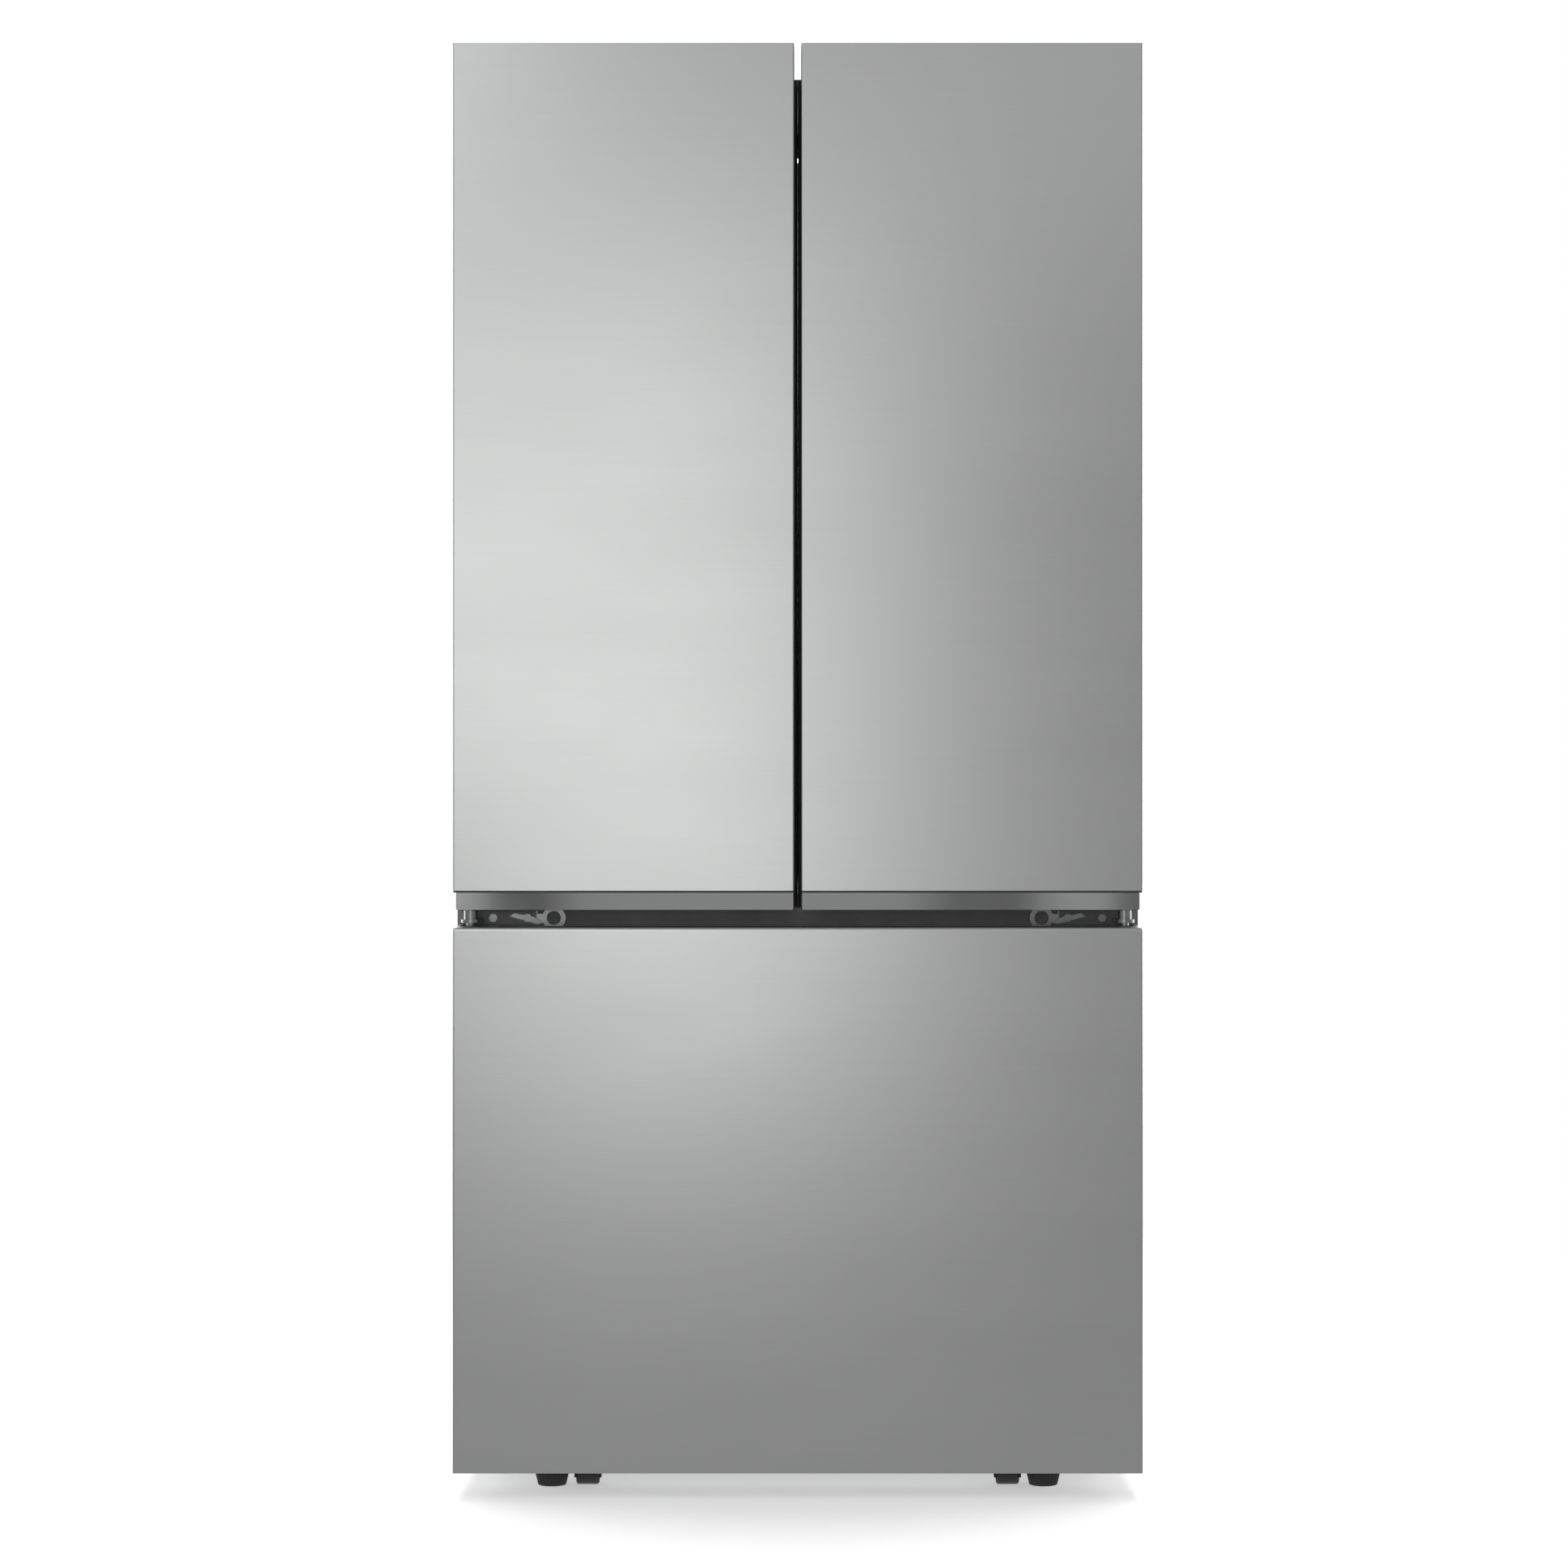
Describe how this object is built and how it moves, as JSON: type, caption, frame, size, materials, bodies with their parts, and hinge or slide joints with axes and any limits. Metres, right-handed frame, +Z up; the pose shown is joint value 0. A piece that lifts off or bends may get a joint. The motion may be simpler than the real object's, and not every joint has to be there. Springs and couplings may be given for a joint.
{
  "type": "french door refrigerator",
  "caption": "Stainless bottom-freezer refrigerator with hinged double doors over a pull-out freezer drawer, pocket handles, shelves, crispers, bins and machinery.",
  "frame": {"origin": "on the floor, under the middle of the whole refrigerator's box", "axes": "+Z up along the height, doors face -Y, +X towards the viewer's right when facing the doors"},
  "size_m": [0.832, 0.74, 1.755],
  "materials": {
    "stainless": "satin",
    "trim_metal": "satin",
    "case_paint": "satin",
    "galvanised": "satin",
    "foam": "matte",
    "white_liner": "gloss",
    "dark_cap": "matte",
    "charcoal_rail": "satin",
    "gasket": "matte",
    "hinge_zinc": "satin",
    "fastener_steel": "satin",
    "cover_plastic": "satin",
    "black_plastic": "satin",
    "compressor_black": "satin",
    "rubber_black": "matte",
    "coil_aluminium": "satin",
    "fan_plastic": "satin",
    "pan_plastic": "matte",
    "cover_board": "matte",
    "shelf_glass": "polished",
    "shelf_metal": "satin",
    "clear_bin": "gloss",
    "frost_bin": "satin",
    "light_lens": "gloss",
    "console": "gloss",
    "duct_white": "satin"
  },
  "bodies": {
    "cabinet": {"cabinet_shell": "case_paint", "cabinet_foam": "foam", "fridge_liner": "white_liner", "freezer_liner": "white_liner", "mullion_rail": "charcoal_rail", "back_panel": "galvanised", "rear_cover": "cover_board", "cord_gland": "black_plastic", "base_frame": "galvanised", "roller_brackets": "black_plastic", "fasteners": "fastener_steel", "compressor": "compressor_black", "compressor_grommets": "rubber_black", "condenser": "coil_aluminium", "drain_pan": "pan_plastic", "evaporator": "coil_aluminium", "air_duct_covers": "duct_white", "top_hinges": "hinge_zinc", "hinge_covers": "cover_plastic", "mid_hinges": "hinge_zinc", "glass_shelves": "shelf_glass", "shelf_frames": "shelf_metal", "control_panel": "console", "ceiling_light": "light_lens", "freezer_rails": "galvanised"},
    "left_door": {"left_door_skin": "stainless", "left_door_core": "foam", "left_door_caps": "dark_cap", "left_door_liner": "white_liner", "left_door_gasket": "gasket", "left_handle_trim": "trim_metal", "left_door_bins": "clear_bin"},
    "right_door": {"right_door_skin": "stainless", "right_door_core": "foam", "right_door_caps": "dark_cap", "right_door_liner": "white_liner", "right_door_gasket": "gasket", "right_handle_trim": "trim_metal", "right_door_bins": "clear_bin"},
    "flip_mullion": {"flip_mullion": "cover_plastic"},
    "dairy_lid": {"dairy_lid": "clear_bin"},
    "freezer_drawer": {"freezer_drawer_skin": "stainless", "freezer_drawer_core": "foam", "freezer_drawer_caps": "dark_cap", "freezer_drawer_liner": "white_liner", "freezer_drawer_gasket": "gasket", "freezer_drawer_frame": "galvanised", "freezer_basket": "frost_bin"},
    "slide_intermediates": {"slide_intermediates": "galvanised"},
    "freezer_tray": {"freezer_tray": "frost_bin"},
    "left_crisper": {"left_crisper": "frost_bin"},
    "right_crisper": {"right_crisper": "frost_bin"},
    "left_humidity_slider": {"left_humidity_slider": "duct_white"},
    "right_humidity_slider": {"right_humidity_slider": "duct_white"},
    "left_foot": {"left_foot": "black_plastic"},
    "right_foot": {"right_foot": "black_plastic"},
    "front_rollers": {"front_rollers": "black_plastic"},
    "rear_rollers": {"rear_rollers": "black_plastic"},
    "condenser_fan": {"condenser_fan": "fan_plastic"},
    "evaporator_fan": {"evaporator_fan": "fan_plastic"}
  },
  "joints": [
    {"name": "left_door_hinge", "type": "hinge", "parent": "cabinet", "child": "left_door", "pos_m": [-0.396, -0.345, 1.2], "axis": [0, 0, -1], "range_deg": [0, 120]},
    {"name": "right_door_hinge", "type": "hinge", "parent": "cabinet", "child": "right_door", "pos_m": [0.396, -0.345, 1.2], "axis": [0, 0, 1], "range_deg": [0, 120]},
    {"name": "flip_mullion_pivot", "type": "hinge", "parent": "left_door", "child": "flip_mullion", "pos_m": [-0.031, -0.285, 1.2], "axis": [0, 0, -1], "range_deg": [0, 90]},
    {"name": "dairy_lid_pivot", "type": "hinge", "parent": "left_door", "child": "dairy_lid", "pos_m": [-0.2015, -0.29, 1.511], "axis": [1, 0, 0], "range_deg": [0, 80]},
    {"name": "freezer_drawer_slide", "type": "slide", "parent": "cabinet", "child": "freezer_drawer", "axis": [0, -1, 0], "range_m": [0, 0.42]},
    {"name": "slide_intermediates_slide", "type": "slide", "parent": "cabinet", "child": "slide_intermediates", "axis": [0, -1, 0], "range_m": [0, 0.21]},
    {"name": "freezer_tray_slide", "type": "slide", "parent": "freezer_drawer", "child": "freezer_tray", "axis": [0, 1, 0], "range_m": [0, 0.12]},
    {"name": "left_crisper_slide", "type": "slide", "parent": "cabinet", "child": "left_crisper", "axis": [0, -1, 0], "range_m": [0, 0.095]},
    {"name": "right_crisper_slide", "type": "slide", "parent": "cabinet", "child": "right_crisper", "axis": [0, -1, 0], "range_m": [0, 0.095]},
    {"name": "left_humidity_slider_slide", "type": "slide", "parent": "left_crisper", "child": "left_humidity_slider", "axis": [1, 0, 0], "range_m": [0, 0.04]},
    {"name": "right_humidity_slider_slide", "type": "slide", "parent": "right_crisper", "child": "right_humidity_slider", "axis": [1, 0, 0], "range_m": [0, 0.04]},
    {"name": "left_foot_turn", "type": "hinge", "parent": "cabinet", "child": "left_foot", "pos_m": [-0.302, -0.265, 0.02], "axis": [0, 0, 1], "continuous": true},
    {"name": "right_foot_turn", "type": "hinge", "parent": "cabinet", "child": "right_foot", "pos_m": [0.302, -0.265, 0.02], "axis": [0, 0, 1], "continuous": true},
    {"name": "front_rollers_spin", "type": "hinge", "parent": "cabinet", "child": "front_rollers", "pos_m": [0, -0.262, 0.017], "axis": [1, 0, 0], "continuous": true},
    {"name": "rear_rollers_spin", "type": "hinge", "parent": "cabinet", "child": "rear_rollers", "pos_m": [0, 0.33, 0.019], "axis": [1, 0, 0], "continuous": true},
    {"name": "condenser_fan_spin", "type": "hinge", "parent": "cabinet", "child": "condenser_fan", "pos_m": [-0.039, 0.263, 0.132], "axis": [1, 0, 0], "continuous": true},
    {"name": "evaporator_fan_spin", "type": "hinge", "parent": "cabinet", "child": "evaporator_fan", "pos_m": [0, 0.246, 0.6], "axis": [0, 1, 0], "continuous": true}
  ],
  "couplings": [
    {"joint": "slide_intermediates_slide", "follows": "freezer_drawer_slide", "ratio": 0.5}
  ]
}
